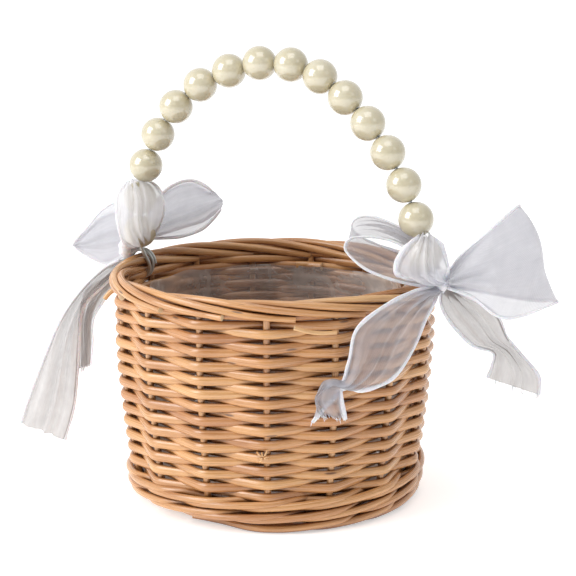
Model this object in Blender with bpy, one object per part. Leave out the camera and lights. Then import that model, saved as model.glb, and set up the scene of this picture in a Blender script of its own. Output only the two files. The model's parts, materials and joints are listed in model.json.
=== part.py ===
"""Flower girl basket: a round willow basket with a film liner, an arched handle of beads threaded
on steel wire, and a ribbon bow at each foot of the handle.

Frame: metres, +Z up, origin at the centre of the flat underside. The handle stands in the XZ plane,
with its feet at -X and +X on the border. It rocks about the X axis through the border's middle.
"""

import math

import bmesh
import bpy
from mathutils import Vector

MM = 0.001
GAP = 0.3 * MM

# Basket
BASKET_HEIGHT = 108 * MM
BORDER_OUTER_RADIUS = 78 * MM
BORDER_WIDTH = 9.5 * MM
BORDER_THICKNESS = 10 * MM
BORDER_RADIUS = BORDER_OUTER_RADIUS - BORDER_WIDTH / 2
BORDER_MIDDLE = BASKET_HEIGHT - BORDER_THICKNESS / 2
BORDER_SIDES = 12
WALL_TOP_RADIUS = 77 * MM
WALL_LOW_RADIUS = 70.2 * MM
WALL_UPRIGHT_ABOVE = 75 * MM
WALL_TAPER_POWER = 1.3
WALL_THICKNESS = 8 * MM
CORNER_HEIGHT = 10 * MM
CORNER_WIDTH = 8 * MM
BOTTOM_WALING_TOP = 16 * MM
TOP_WALING_BOTTOM = 92 * MM
TOP_WALING_TOP = BASKET_HEIGHT - BORDER_THICKNESS - GAP
RING_SEGMENTS = 30

# Willow rods
STAKE_COUNT = 15
STAKE_RADIUS = 1.5 * MM
STAKE_DEPTH = 4.2 * MM
STAKE_ROOT_RADIUS = 47.5 * MM
STAKE_TOP = 102 * MM
ROD_SIDES = 6
BASE_RADIUS = 58 * MM
BASE_THICKNESS = 8.4 * MM
BASE_EYE_RADIUS = 11.5 * MM
STICK_END_RADIUS = 44 * MM
STICK_SPREAD = math.radians(22.5)
THROUGH_STICK_RADIUS = 1.6 * MM
THROUGH_STICK_OFFSET = 1.9 * MM
SPLIT_STICK_RADIUS = 2.8 * MM
SPLIT_STICK_OFFSET = 3.1 * MM
SLIT_WIDTH = 8.2 * MM

# Liner
LINER_THICKNESS = 0.5 * MM
LINER_TOP = 93 * MM
LINER_CLEARANCE = 1 * MM

# Handle
PEARL_COUNT = 16
PEARL_RADIUS = 8 * MM
PEARL_BORE_RADIUS = 1.9 * MM
PEARL_PITCH = 16.3 * MM
PEARL_SIDES = 12
PEARL_RINGS = 7
WIRE_RADIUS = 0.8 * MM
WIRE_STEP = 8 * MM
WRAP_TURNS = 2
WRAP_PITCH = 2.2 * MM
WRAP_CLEARANCE = 1.3 * MM
WRAP_STEPS = 12
SLOT_WIDTH = 10.2 * MM
SLOT_DEPTH = 3.5 * MM

# Ribbon
RIBBON_THICKNESS = 2.4 * MM
LOOP_THICKNESS = 7 * MM
KNOT_SIZE = Vector((5.5, 5, 6)) * MM

# The bent wire's own route between its two wraps, from the -X foot to the +X foot, in millimetres.
# Its second point is the centre of the first bead.
HANDLE_ROUTE_MM = [
    (-69.9, -4.2, 110), (-70.9, -4.7, 119.8), (-70.6, -4.8, 136.1), (-67.4, -3.8, 152),
    (-61.4, -2, 167.2), (-52.4, 0.2, 180.7), (-40.2, 2.4, 191.3), (-25.6, 4, 198.3),
    (-9.8, 4.8, 202.3), (6.5, 4.6, 202.1), (21.9, 3.4, 197.2), (35.4, 1.5, 188.3),
    (47.4, -0.2, 177.4), (57.7, -1.3, 164.9), (65.9, -1.9, 150.9), (71.9, -1.8, 135.8),
    (76.1, -0.6, 120), (78.2, -1, 110),
]

# Each ribbon piece: its thickness, then its two long edges from the knot outwards, in millimetres.
RIBBONS_MM = {
    "bow_right_inner_loop": (LOOP_THICKNESS,
                             [(83, -14, 118), (73, -17, 129), (61, -22, 137), (51, -29, 130)],
                             [(83, -15, 113), (75, -21, 114), (62, -28, 114), (51, -32, 119)]),
    "bow_right_wrap": (RIBBON_THICKNESS,
                       [(90, -22, 112), (90, -19, 121), (86, -19, 131)],
                       [(79, -27, 112), (76, -27, 121), (77, -24, 131)]),
    "bow_right_outer_loop": (LOOP_THICKNESS,
                             [(96, 5, 114), (100, 17, 125), (109, 34, 137)],
                             [(98, 4, 105), (105, 10, 86), (123, 36, 96)]),
    "bow_right_outer_tail": (RIBBON_THICKNESS,
                             [(91, -10, 98), (98, -5, 81), (109, 4, 64), (113, 8, 54)],
                             [(98, -8, 99), (108, -1, 84), (119, 12, 72), (125, 16, 56)]),
    "bow_right_wall_tail": (RIBBON_THICKNESS,
                            [(82, -17, 102), (71, -42, 100), (64, -53, 87), (60, -58, 68), (50, -66, 60)],
                            [(83, -12, 95), (82, -16, 82), (77, -32, 70), (64, -53, 67), (62, -55, 56)]),
    "bow_left_inner_loop": (LOOP_THICKNESS,
                            [(-75, 12, 125), (-63, 23, 139), (-49, 32, 136)],
                            [(-74, 9, 114), (-57, 20, 114), (-46, 31, 124)]),
    "bow_left_wrap": (RIBBON_THICKNESS,
                      [(-71, -25, 115), (-73, -22, 130), (-69, -17, 143)],
                      [(-58, -18, 114), (-56, -14, 128), (-60, -12, 143)]),
    "bow_left_outer_loop": (LOOP_THICKNESS,
                            [(-86, -14, 127), (-89, -19, 125), (-95, -26, 117)],
                            [(-84, -17, 109), (-87, -22, 108), (-95, -27, 113)]),
    "bow_left_outer_tail": (RIBBON_THICKNESS,
                            [(-91, -14, 98), (-106, -21, 75), (-120, -28, 44), (-125, -30, 22)],
                            [(-80, -14, 97), (-88, -15, 75), (-97, -20, 45), (-104, -24, 17)]),
    "bow_left_back_tail": (RIBBON_THICKNESS,
                           [(-92, -2, 97), (-95, -6, 78), (-98, -11, 59)],
                           [(-85, -2, 90), (-89, -6, 69), (-93, -10, 52)]),
}
KNOTS_MM = {"bow_right_knot": (88, -3, 107), "bow_left_knot": (-88, -3, 107)}

WILLOW = ((0.62, 0.40, 0.20, 1), 0.6, 0.0)
FILM = ((0.80, 0.82, 0.84, 1), 0.15, 0.0)
STEEL = ((0.55, 0.55, 0.54, 1), 0.35, 1.0)
IVORY = ((0.88, 0.82, 0.66, 1), 0.2, 0.0)
ORGANZA = ((0.88, 0.88, 0.90, 1), 0.6, 0.0)


def clear_scene():
    for old in list(bpy.data.objects):
        bpy.data.objects.remove(old, do_unlink=True)


def add_object(name, mesh, finish):
    """Puts a mesh in the scene with a Principled material of its own."""
    colour, roughness, metallic = finish
    material = bpy.data.materials.new(name)
    material.use_nodes = True
    shader = material.node_tree.nodes["Principled BSDF"]
    shader.inputs["Base Color"].default_value = colour
    shader.inputs["Roughness"].default_value = roughness
    shader.inputs["Metallic"].default_value = metallic
    mesh.materials.append(material)
    made = bpy.data.objects.new(name, mesh)
    bpy.context.collection.objects.link(made)
    return made


def mesh_from(name, points, faces, smooth_above=None):
    """Makes a closed mesh with its faces pointing out."""
    mesh = bpy.data.meshes.new(name)
    mesh.from_pydata([tuple(point) for point in points], [], faces)
    work = bmesh.new()
    work.from_mesh(mesh)
    bmesh.ops.recalc_face_normals(work, faces=work.faces)
    work.to_mesh(mesh)
    work.free()
    if smooth_above is not None:
        mesh.shade_smooth()
        mesh.set_sharp_from_angle(angle=smooth_above)
    return mesh


def turned_mesh(name, profile, segments):
    """Turns a closed outline of (radius, height) pairs about Z. A radius of 0 becomes one point."""
    points = []
    rings = []
    for radius, height in profile:
        start = len(points)
        if radius == 0:
            points.append((0, 0, height))
            rings.append([start] * segments)
            continue
        for i in range(segments):
            angle = math.tau * i / segments
            points.append((radius * math.cos(angle), radius * math.sin(angle), height))
        rings.append(list(range(start, start + segments)))
    faces = []
    for ring, after in zip(rings, rings[1:] + rings[:1]):
        for i in range(segments):
            j = (i + 1) % segments
            corners = dict.fromkeys((ring[i], ring[j], after[j], after[i]))
            if len(corners) > 2:
                faces.append(tuple(corners))
    return mesh_from(name, points, faces, math.radians(35))


def tube_mesh(name, route, radius, sides):
    """Sweeps a round section along a route, with a flat cap at each end."""
    across = Vector((0, 0, 1))
    points = []
    last = len(route) - 1
    for i, here in enumerate(route):
        along = (route[min(i + 1, last)] - route[max(i - 1, 0)]).normalized()
        if i == 0 and abs(along.dot(across)) > 0.9:
            across = Vector((1, 0, 0))
        across = (across - along * across.dot(along)).normalized()
        side = along.cross(across)
        for k in range(sides):
            angle = math.tau * k / sides
            points.append(here + (across * math.cos(angle) + side * math.sin(angle)) * radius)
    faces = [tuple(range(sides)), tuple(range(last * sides, (last + 1) * sides))]
    for i in range(last):
        for k in range(sides):
            j = (k + 1) % sides
            faces.append((i * sides + k, i * sides + j, (i + 1) * sides + j, (i + 1) * sides + k))
    return mesh_from(name, points, faces, math.radians(50))


def add_cutter(name, meshes):
    """Joins closed meshes into one hidden cutter."""
    work = bmesh.new()
    for mesh in meshes:
        work.from_mesh(mesh)
    joined = bpy.data.meshes.new(name)
    work.to_mesh(joined)
    work.free()
    cutter = bpy.data.objects.new(name, joined)
    bpy.context.collection.objects.link(cutter)
    cutter.hide_render = True
    cutter.display_type = "WIRE"
    return cutter


def cut(piece, cutter):
    boolean = piece.modifiers.new(cutter.name, "BOOLEAN")
    boolean.operation = "DIFFERENCE"
    boolean.object = cutter


def box_mesh(name, centre, size):
    work = bmesh.new()
    bmesh.ops.create_cube(work, size=1)
    bmesh.ops.scale(work, vec=size, verts=work.verts)
    bmesh.ops.translate(work, vec=centre, verts=work.verts)
    mesh = bpy.data.meshes.new(name)
    work.to_mesh(mesh)
    work.free()
    return mesh


def millimetres(points):
    return [Vector(point) * MM for point in points]


def smooth_route(points, steps):
    """A Catmull-Rom curve through the points, with this many steps between each two."""
    ends = [2 * points[0] - points[1]] + points + [2 * points[-1] - points[-2]]
    route = []
    for before, start, stop, after in zip(ends, ends[1:], ends[2:], ends[3:]):
        for i in range(steps):
            t = i / steps
            route.append(0.5 * (2 * start + (stop - before) * t
                                + (2 * before - 5 * start + 4 * stop - after) * t ** 2
                                + (3 * start - before - 3 * stop + after) * t ** 3))
    return route + [points[-1]]


def place_on(route, distance):
    """The point this far along a route."""
    for start, stop in zip(route, route[1:]):
        length = (stop - start).length
        if distance <= length:
            return start.lerp(stop, distance / length)
        distance -= length
    return route[-1]


def wall_radius(height):
    """The basket's outer radius: a rounded lower corner, a slight taper, then upright."""
    if height < CORNER_HEIGHT:
        drop = 1 - height / CORNER_HEIGHT
        return WALL_LOW_RADIUS - CORNER_WIDTH * (1 - math.sqrt(1 - drop ** 2))
    below = max(0, (WALL_UPRIGHT_ABOVE - height) / (WALL_UPRIGHT_ABOVE - CORNER_HEIGHT))
    return WALL_TOP_RADIUS - (WALL_TOP_RADIUS - WALL_LOW_RADIUS) * below ** WALL_TAPER_POWER


def around(angle, radius, height):
    return Vector((radius * math.cos(angle), radius * math.sin(angle), height))


def stake_angles():
    """The stakes are evenly spaced, with one at the front, on -Y."""
    return [math.tau * i / STAKE_COUNT - math.pi / 2 for i in range(STAKE_COUNT)]


def stake_route(angle):
    """From its socket in the base, round the corner and up the middle of the wall."""
    corner = [(STAKE_ROOT_RADIUS, 4.2 * MM), (BASE_RADIUS, 4.2 * MM), (62.2 * MM, 5 * MM),
              (64.9 * MM, 7.6 * MM), (66.2 * MM, 11 * MM)]
    heights = [BOTTOM_WALING_TOP, 32 * MM, 54 * MM, WALL_UPRIGHT_ABOVE, STAKE_TOP]
    wall = [(wall_radius(height) - STAKE_DEPTH, height) for height in heights]
    return [around(angle, radius, height) for radius, height in corner + wall]


def add_stakes():
    for number, angle in enumerate(stake_angles(), 1):
        name = f"side_stake_{number:02d}"
        add_object(name, tube_mesh(name, stake_route(angle), STAKE_RADIUS, ROD_SIDES), WILLOW)
    holes = [tube_mesh("stake_hole", longer_at_both_ends(stake_route(angle)),
                       STAKE_RADIUS + GAP, ROD_SIDES) for angle in stake_angles()]
    return add_cutter("stake_holes", holes)


def longer_at_both_ends(route):
    """The same route with each end moved out by the fitting gap."""
    first = route[0] + (route[0] - route[1]).normalized() * GAP
    last = route[-1] + (route[-1] - route[-2]).normalized() * GAP
    return [first] + route[1:-1] + [last]


def stick_route(along_y, side):
    """A base stick: straight and beside its pair through the middle, then opened out at both ends."""
    offset = SPLIT_STICK_OFFSET if along_y else THROUGH_STICK_OFFSET
    half = [(STICK_END_RADIUS * math.cos(STICK_SPREAD), STICK_END_RADIUS * math.sin(STICK_SPREAD)),
            (24 * MM, offset + 5 * MM), (15 * MM, offset + 1.5 * MM), (7 * MM, offset)]
    outline = [(-run, out) for run, out in half] + [(run, out) for run, out in reversed(half)]
    height = BASE_THICKNESS / 2
    if along_y:
        return [Vector((side * out, run, height)) for run, out in outline]
    return [Vector((run, side * out, height)) for run, out in outline]


def add_base_sticks():
    """Two sticks run through the slits of the other two and cross them at the middle."""
    holes = []
    for label, side in (("a", 1), ("b", -1)):
        route = stick_route(False, side)
        name = f"base_stick_through_{label}"
        add_object(name, tube_mesh(name, route, THROUGH_STICK_RADIUS, ROD_SIDES), WILLOW)
        holes.append(tube_mesh("hole", longer_at_both_ends(route), THROUGH_STICK_RADIUS + GAP, ROD_SIDES))
    slit_size = Vector((20 * MM, SLIT_WIDTH, 2 * (THROUGH_STICK_RADIUS + GAP)))
    slit = add_cutter("stick_slit", [box_mesh("slit", Vector((0, 0, BASE_THICKNESS / 2)), slit_size)])
    for label, side in (("a", 1), ("b", -1)):
        route = stick_route(True, side)
        name = f"base_stick_split_{label}"
        stick = add_object(name, tube_mesh(name, route, SPLIT_STICK_RADIUS, ROD_SIDES + 2), WILLOW)
        cut(stick, slit)
        holes.append(tube_mesh("hole", longer_at_both_ends(route), SPLIT_STICK_RADIUS + GAP, ROD_SIDES + 2))
    return add_cutter("stick_holes", holes)


def add_base(stake_holes, stick_holes):
    profile = [(BASE_EYE_RADIUS, 0), (BASE_RADIUS, 0), (BASE_RADIUS, BASE_THICKNESS),
               (BASE_EYE_RADIUS, BASE_THICKNESS)]
    base = add_object("base_weave", turned_mesh("base_weave", profile, RING_SEGMENTS), WILLOW)
    cut(base, stake_holes)
    cut(base, stick_holes)


def band_profile(heights):
    outer = [(wall_radius(height), height) for height in heights]
    inner = [(radius - WALL_THICKNESS, height) for radius, height in outer]
    return outer + inner[::-1]


def add_wall_bands(stake_holes, wrap_slots):
    """The wall's three bands of weave, stacked up, with a hole for each stake."""
    corner = [(wall_radius(height), height) for height in (0, 2.5 * MM, 5 * MM, 8 * MM, BOTTOM_WALING_TOP)]
    inside = [(wall_radius(BOTTOM_WALING_TOP) - WALL_THICKNESS, BOTTOM_WALING_TOP),
              (BASE_RADIUS + GAP, BASE_THICKNESS), (BASE_RADIUS + GAP, 0)]
    bands = {
        "bottom_waling": corner + inside,
        "side_weave": band_profile([BOTTOM_WALING_TOP + GAP, 36 * MM, 56 * MM, WALL_UPRIGHT_ABOVE,
                                    TOP_WALING_BOTTOM - GAP]),
        "top_waling": band_profile([TOP_WALING_BOTTOM, TOP_WALING_TOP]),
    }
    for name, profile in bands.items():
        band = add_object(name, turned_mesh(name, profile, RING_SEGMENTS), WILLOW)
        cut(band, stake_holes)
        if name == "top_waling":
            cut(band, wrap_slots)


def add_border(stake_holes):
    """The rolled border: a ring of rounded section that takes the stakes' upper ends."""
    profile = []
    for i in range(BORDER_SIDES):
        angle = math.tau * i / BORDER_SIDES
        profile.append((BORDER_RADIUS + BORDER_WIDTH / 2 * math.cos(angle),
                        BORDER_MIDDLE + BORDER_THICKNESS / 2 * math.sin(angle)))
    border = add_object("border", turned_mesh("border", profile, RING_SEGMENTS), WILLOW)
    cut(border, stake_holes)


def add_liner():
    """A thin cup of film that lines the base and the wall."""
    inset = WALL_THICKNESS + LINER_CLEARANCE
    floor = BASE_THICKNESS + GAP
    outer = [(0, floor), (55 * MM, floor)]
    inner = [(0, floor + LINER_THICKNESS), (55 * MM, floor + LINER_THICKNESS)]
    for height in (15 * MM, 36 * MM, 56 * MM, WALL_UPRIGHT_ABOVE, LINER_TOP):
        radius = wall_radius(height) - inset
        outer.append((radius, height))
        inner.append((radius - LINER_THICKNESS, height))
    add_object("film_liner", turned_mesh("film_liner", outer + inner[::-1], RING_SEGMENTS), FILM)


def wrap_route(side):
    """The wire's two turns round the border, from beside the handle's foot."""
    width = BORDER_WIDTH / 2 + WRAP_CLEARANCE + WIRE_RADIUS
    height = BORDER_THICKNESS / 2 + WRAP_CLEARANCE + WIRE_RADIUS
    route = []
    for i in range(WRAP_TURNS * WRAP_STEPS + 1):
        turn = i / WRAP_STEPS
        angle = -math.tau * turn
        route.append(Vector((side * BORDER_RADIUS + width * math.cos(angle),
                             (turn - WRAP_TURNS / 2) * WRAP_PITCH,
                             BORDER_MIDDLE + height * math.sin(angle))))
    return route


def wrap_slots():
    """The spaces under the border that the wire passes through, wide enough for it to rock."""
    size = Vector((2 * WALL_THICKNESS, SLOT_WIDTH, 2 * SLOT_DEPTH))
    boxes = [box_mesh("slot", Vector((side * BORDER_RADIUS, 0, TOP_WALING_TOP)), size) for side in (-1, 1)]
    return add_cutter("wrap_slots", boxes)


def add_handle_wire(arch):
    length = sum((stop - start).length for start, stop in zip(arch, arch[1:]))
    count = math.ceil(length / WIRE_STEP)
    middle = [place_on(arch, length * i / count) for i in range(count + 1)]
    route = wrap_route(-1)[::-1] + middle + wrap_route(1)
    add_object("handle_wire", tube_mesh("handle_wire", route, WIRE_RADIUS, ROD_SIDES), STEEL)


def add_pearls(arch):
    """Beads a pitch apart along the wire, each bored along it. Each one's origin is its centre."""
    start = math.asin(PEARL_BORE_RADIUS / PEARL_RADIUS)
    profile = []
    for i in range(PEARL_RINGS):
        angle = start + (math.pi - 2 * start) * i / (PEARL_RINGS - 1)
        profile.append((PEARL_RADIUS * math.sin(angle), -PEARL_RADIUS * math.cos(angle)))
    first = first_pearl_distance(arch)
    for number in range(PEARL_COUNT):
        name = f"pearl_{number + 1:02d}"
        distance = first + PEARL_PITCH * number
        centre = place_on(arch, distance)
        along = place_on(arch, distance + PEARL_RADIUS) - place_on(arch, distance - PEARL_RADIUS)
        pearl = add_object(name, turned_mesh(name, profile, PEARL_SIDES), IVORY)
        pearl.rotation_mode = "QUATERNION"
        pearl.rotation_quaternion = along.to_track_quat("Z", "Y")
        pearl.location = centre


def first_pearl_distance(arch):
    """How far along the arch the first bead's centre is."""
    centre = Vector(HANDLE_ROUTE_MM[1]) * MM
    travelled = 0
    for start, stop in zip(arch, arch[1:]):
        if (start - centre).length < 1e-6:
            return travelled
        travelled += (stop - start).length
    return travelled


def add_ribbon(name, thickness, one_edge, other_edge):
    """A strip between two edges, given its thickness both ways from the middle."""
    points = millimetres(one_edge) + millimetres(other_edge)
    count = len(one_edge)
    mesh = bpy.data.meshes.new(name)
    mesh.from_pydata(points, [], [(i, i + 1, count + i + 1, count + i) for i in range(count - 1)])
    strip = add_object(name, mesh, ORGANZA)
    solid = strip.modifiers.new("thickness", "SOLIDIFY")
    solid.thickness = thickness
    solid.offset = 0


def add_knots():
    for name, centre in KNOTS_MM.items():
        work = bmesh.new()
        bmesh.ops.create_uvsphere(work, u_segments=10, v_segments=6, radius=1)
        bmesh.ops.scale(work, vec=KNOT_SIZE, verts=work.verts)
        mesh = bpy.data.meshes.new(name)
        work.to_mesh(mesh)
        work.free()
        mesh.shade_smooth()
        knot = add_object(name, mesh, ORGANZA)
        knot.location = Vector(centre) * MM


def build():
    clear_scene()
    stake_holes = add_stakes()
    stick_holes = add_base_sticks()
    add_base(stake_holes, stick_holes)
    add_wall_bands(stake_holes, wrap_slots())
    add_border(stake_holes)
    add_liner()
    arch = smooth_route(millimetres(HANDLE_ROUTE_MM), 12)
    add_handle_wire(arch)
    add_pearls(arch)
    add_knots()
    for name, (thickness, one_edge, other_edge) in RIBBONS_MM.items():
        add_ribbon(name, thickness, one_edge, other_edge)


build()
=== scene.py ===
import json
import math
import random

import bmesh
import bpy
import numpy as np
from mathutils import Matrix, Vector, noise


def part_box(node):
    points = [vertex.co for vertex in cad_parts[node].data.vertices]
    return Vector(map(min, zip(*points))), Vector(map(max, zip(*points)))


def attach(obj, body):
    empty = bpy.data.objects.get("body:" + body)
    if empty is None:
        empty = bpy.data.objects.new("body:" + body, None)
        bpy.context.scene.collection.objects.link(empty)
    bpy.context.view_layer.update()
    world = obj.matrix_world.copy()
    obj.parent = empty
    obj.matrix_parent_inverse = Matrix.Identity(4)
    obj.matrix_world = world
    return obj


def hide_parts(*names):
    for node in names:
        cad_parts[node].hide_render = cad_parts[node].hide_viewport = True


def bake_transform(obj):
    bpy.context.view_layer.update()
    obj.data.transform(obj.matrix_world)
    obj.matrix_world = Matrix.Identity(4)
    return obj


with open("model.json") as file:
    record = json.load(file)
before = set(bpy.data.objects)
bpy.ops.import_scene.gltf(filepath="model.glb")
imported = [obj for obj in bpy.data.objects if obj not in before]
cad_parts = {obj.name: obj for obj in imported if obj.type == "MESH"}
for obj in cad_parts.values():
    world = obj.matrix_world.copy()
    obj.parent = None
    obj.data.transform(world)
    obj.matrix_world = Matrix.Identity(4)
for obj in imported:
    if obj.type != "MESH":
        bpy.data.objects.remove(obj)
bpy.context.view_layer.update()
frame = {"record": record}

MM = 0.001
JOINTS = {joint["name"]: joint for joint in frame["record"]["behaviour"]["joints"]}

# Weave, in metres. The stakes stand at whole numbers of spacings from -Y.
STAKES = 15
SPACING = math.tau / STAKES
FRONT_STAKE = -math.pi / 2
STAKE_RADIUS = 1.6 * MM
STAKE_INSET = 4.3 * MM
WEAVER_RADIUS = 1.5 * MM
WEAVER_TALL = 1.42
ROW_PITCH = 3.15 * MM
WALE_ROD_RADIUS = 1.75 * MM
WALE_PITCH = 5.7 * MM
WALE_ROUNDS = 2.6
WEAVER_RUNS = (16, 18, 20, 22, 24, 26)
WALE_RUNS = (12, 15, 18)
STEPS_PER_STAKE = 22
TUCKED_TAIL = 0.22
BORDER_ROD_RADIUS = 1.75 * MM
BORDER_REACH = 4.4
BORDER_HALF_WIDTH = 4.75 * MM
ROD_SIDES = 10
BORDER_START_DEGREES = 255
BORDER_SWEEP_DEGREES = 328
SPLINTER_ANGLE = -1.17
SPLINTER_HEIGHT = 38 * MM
BASE_SPOKES = 8
BASE_HOLE_RADIUS = 7.5 * MM
BASE_ROW_PITCH = 2.6 * MM
SIDE_START = 14 * MM
SIDE_TURNS = 24
TOP_TURNS = 3

# Film liner: a flat middle, then a cup. The film is clearest at the back and front, and milky at the sides.
LINER_RINGS = 110
LINER_SPOKES = 260
LINER_FLOOR_SHARE = 0.3
LINER_FLOOR_RADIUS = 58 * MM
LINER_TOP = 95 * MM
LINER_CORNER_TURN = 0.5
CLEAR_FILM_TURN = math.radians(36)

# Handle and bows
PEARL_COUNT = 16
PEARL_RADIUS = 8 * MM
PEARL_BORE_RADIUS = 1.1 * MM
WIRE_RADIUS = 0.8 * MM
WIRE_WRAP_GAP = 1.1 * MM
WIRE_WRAP_PITCH = 2.2 * MM
RIBBON_WIDTH = 38 * MM
RIBBON_COLUMNS = 36
DEEPEST_PLEAT = 3.2 * MM
HEM_RADIUS = 0.8 * MM
WIDE_HEM_RADIUS = 1.15 * MM
WIDE_HEMS = ("bow_right_inner_loop", "bow_right_wrap", "bow_right_wall_tail")

# Pleats across each ribbon piece, 4 unless named here, and how far its middle bulges, in millimetres.
PLEATS = {"bow_right_outer_loop": 3, "bow_left_inner_loop": 3, "bow_left_outer_tail": 3}
BULGES = {"bow_right_outer_loop": 2, "bow_left_inner_loop": 2, "bow_left_outer_tail": 3}

# Each ribbon piece's guide lines, in millimetres from the knot outwards: one edge, the other edge and,
# where the cloth doesn't run straight between them, its middle. A loop's lines go out and come back.
LOOPS_MM = {
    "bow_right_inner_loop": [
        [(85, -6, 110), (81, -14, 109), (71, -23, 112), (59, -28, 117), (49, -27, 124), (48, -22, 128),
         (51, -18, 129), (59, -11, 128), (69, -7, 124), (84, -4, 113)],
        [(83, -1, 111), (74, 3, 114), (62, 7, 118), (48, 9, 121), (38, 11, 124), (34, 12, 128),
         (37, 14, 132), (47, 15, 132), (64, 9, 127), (83, 0, 113)]],
    "bow_right_outer_loop": [
        [(88, -4, 113), (95, -1, 123), (105, 4, 133), (113, 15, 142), (112, 19, 140), (101, 14, 129),
         (93, 6, 120), (87, -1, 112)],
        [(89, -5, 107), (101, -4, 103), (111, -2, 96), (119, 3, 95), (132, 14, 100), (130, 21, 100),
         (118, 18, 100), (88, -2, 107)],
        [(89, -5, 110), (99, -6, 114), (110, -4, 117), (127, 12, 122), (123, 24, 120), (113, 22, 115),
         (101, 12, 111), (88, -2, 109)]],
    "bow_left_inner_loop": [
        [(-75, 4, 120), (-73, 11, 130), (-69, 22, 138), (-63, 33, 140), (-55, 38, 135), (-58, 40, 133),
         (-66, 38, 137), (-73, 29, 135), (-77, 17, 128), (-77, 8, 119)],
        [(-73, 3, 115), (-68, 10, 114), (-61, 20, 114), (-55, 30, 117), (-50, 38, 125), (-54, 42, 124),
         (-60, 37, 119), (-66, 28, 117), (-71, 16, 115), (-76, 7, 115)],
        [(-74, 4, 117), (-70, 10, 121), (-65, 21, 124), (-58, 32, 127), (-50, 41, 131), (-52, 44, 129),
         (-63, 39, 125), (-70, 30, 123), (-75, 17, 120), (-77, 7, 117)]],
    "bow_left_outer_loop": [
        [(-74, 1, 115), (-80, 0, 129), (-88, 1, 132), (-96, -1, 127), (-103, -4, 118), (-108, -8, 111),
         (-109, -4, 110), (-105, 1, 116), (-98, 4, 123), (-89, 7, 125), (-76, 6, 113)],
        [(-73, 0, 111), (-77, -5, 108), (-85, -8, 102), (-91, -8, 102), (-100, -8, 105), (-107, -8, 109),
         (-109, -4, 109), (-105, 0, 105), (-96, 1, 102), (-87, 3, 106), (-76, 5, 111)]],
}
TAILS_MM = {
    "bow_right_wrap": [
        [(86, -7, 109), (76, -20, 113), (72, -24, 116), (72, -22, 122), (74, -17, 127), (75, -8, 129)],
        [(88, -4, 111), (90, -8, 116), (89, -9, 121), (87, -8, 126), (84, -6, 128), (79, -2, 129)],
        [(87, -8, 110), (84, -18, 113), (83, -20, 119), (82, -19, 125), (80, -14, 129), (77, -5, 130)]],
    "bow_left_wrap": [
        [(-71, -2, 114), (-72, -13, 113), (-74, -17, 119), (-76, -17, 129), (-78, -13, 138), (-79, -3, 142)],
        [(-69, 0, 114), (-62, -3, 121), (-58, -4, 130), (-60, -2, 138), (-67, 1, 143), (-78, 3, 143)],
        [(-72, -3, 114), (-64, -15, 118), (-63, -20, 126), (-64, -19, 135), (-69, -14, 143), (-78, -1, 142)]],
    "bow_right_outer_tail": [
        [(86, -6, 106), (87, -7, 98), (92, -4, 89), (99, 2, 80), (106, 9, 76), (106, 8, 70), (105, 5, 65)],
        [(88, 0, 105), (98, 6, 100), (106, 13, 92), (110, 16, 82), (115, 19, 75), (123, 23, 64),
         (124, 22, 55)]],
    "bow_right_wall_tail": [
        [(84, -7, 107), (80, -27, 108), (72, -42, 103), (65, -51, 95), (63, -53, 83), (61, -54, 74),
         (60, -55, 70), (60, -55, 63), (61, -53, 55)],
        [(84, -1, 105), (83, -8, 99), (81, -13, 92), (79, -21, 81), (74, -32, 70), (66, -46, 67),
         (61, -53, 69), (56, -57, 64), (50, -63, 55)],
        [(86, -9, 107), (83, -23, 105), (79, -34, 99), (74, -41, 90), (70, -47, 78), (64, -54, 71),
         (57, -60, 73), (52, -64, 67), (54, -61, 58)]],
    "bow_left_outer_tail": [
        [(-81, -8, 105), (-89, -11, 100), (-99, -16, 89), (-108, -21, 74), (-116, -25, 54),
         (-123, -28, 35), (-127, -30, 22)],
        [(-75, -4, 107), (-88, -10, 93), (-98, -15, 81), (-99, -18, 64), (-100, -19, 48),
         (-101, -21, 32), (-105, -24, 15)]],
    "bow_left_back_tail": [
        [(-79, 0, 104), (-91, -4, 95), (-101, -7, 88), (-104, -9, 75), (-104, -11, 62), (-103, -13, 49)],
        [(-76, 1, 104), (-83, -6, 95), (-89, -11, 84), (-93, -14, 75), (-93, -15, 64), (-93, -17, 53)]],
}


# ---------------------------------------------------------------- the frame's own sizes

def node_box(name):
    low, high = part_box(name)
    return np.array(low), np.array(high)


border_low, border_high = node_box("border")
base_low, base_high = node_box("base_weave")

BORDER_RADIUS = border_high[0] - BORDER_HALF_WIDTH
BORDER_MIDDLE = (border_low[2] + border_high[2]) / 2
BORDER_HALF_HEIGHT = (border_high[2] - border_low[2]) / 2
WALL_TOP_RADIUS = node_box("side_weave")[1][0]
BASE_RADIUS = base_high[0]
WALL_LOW_RADIUS = 70.2 * MM
CORNER_HEIGHT = 10 * MM
CORNER_WIDTH = 8 * MM
UPRIGHT_ABOVE = 75 * MM


def wall_radius(height):
    """The basket's outer radius at each height: a rounded foot, a slight taper, then upright."""
    height = np.asarray(height, float)
    drop = np.clip(1 - height / CORNER_HEIGHT, 0, 1)
    corner = WALL_LOW_RADIUS - CORNER_WIDTH * (1 - np.sqrt(1 - drop ** 2))
    below = np.clip((UPRIGHT_ABOVE - height) / (UPRIGHT_ABOVE - CORNER_HEIGHT), 0, 1)
    taper = WALL_TOP_RADIUS - (WALL_TOP_RADIUS - WALL_LOW_RADIUS) * below ** 1.3
    return np.where(height < CORNER_HEIGHT, corner, taper)


# ---------------------------------------------------------------- materials

def new_material(name):
    material = bpy.data.materials.new(name)
    material.use_nodes = True
    nodes = material.node_tree.nodes
    nodes.clear()
    output = nodes.new("ShaderNodeOutputMaterial")
    shader = nodes.new("ShaderNodeBsdfPrincipled")
    material.node_tree.links.new(shader.outputs[0], output.inputs[0])
    return material, nodes, material.node_tree.links, shader


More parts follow.
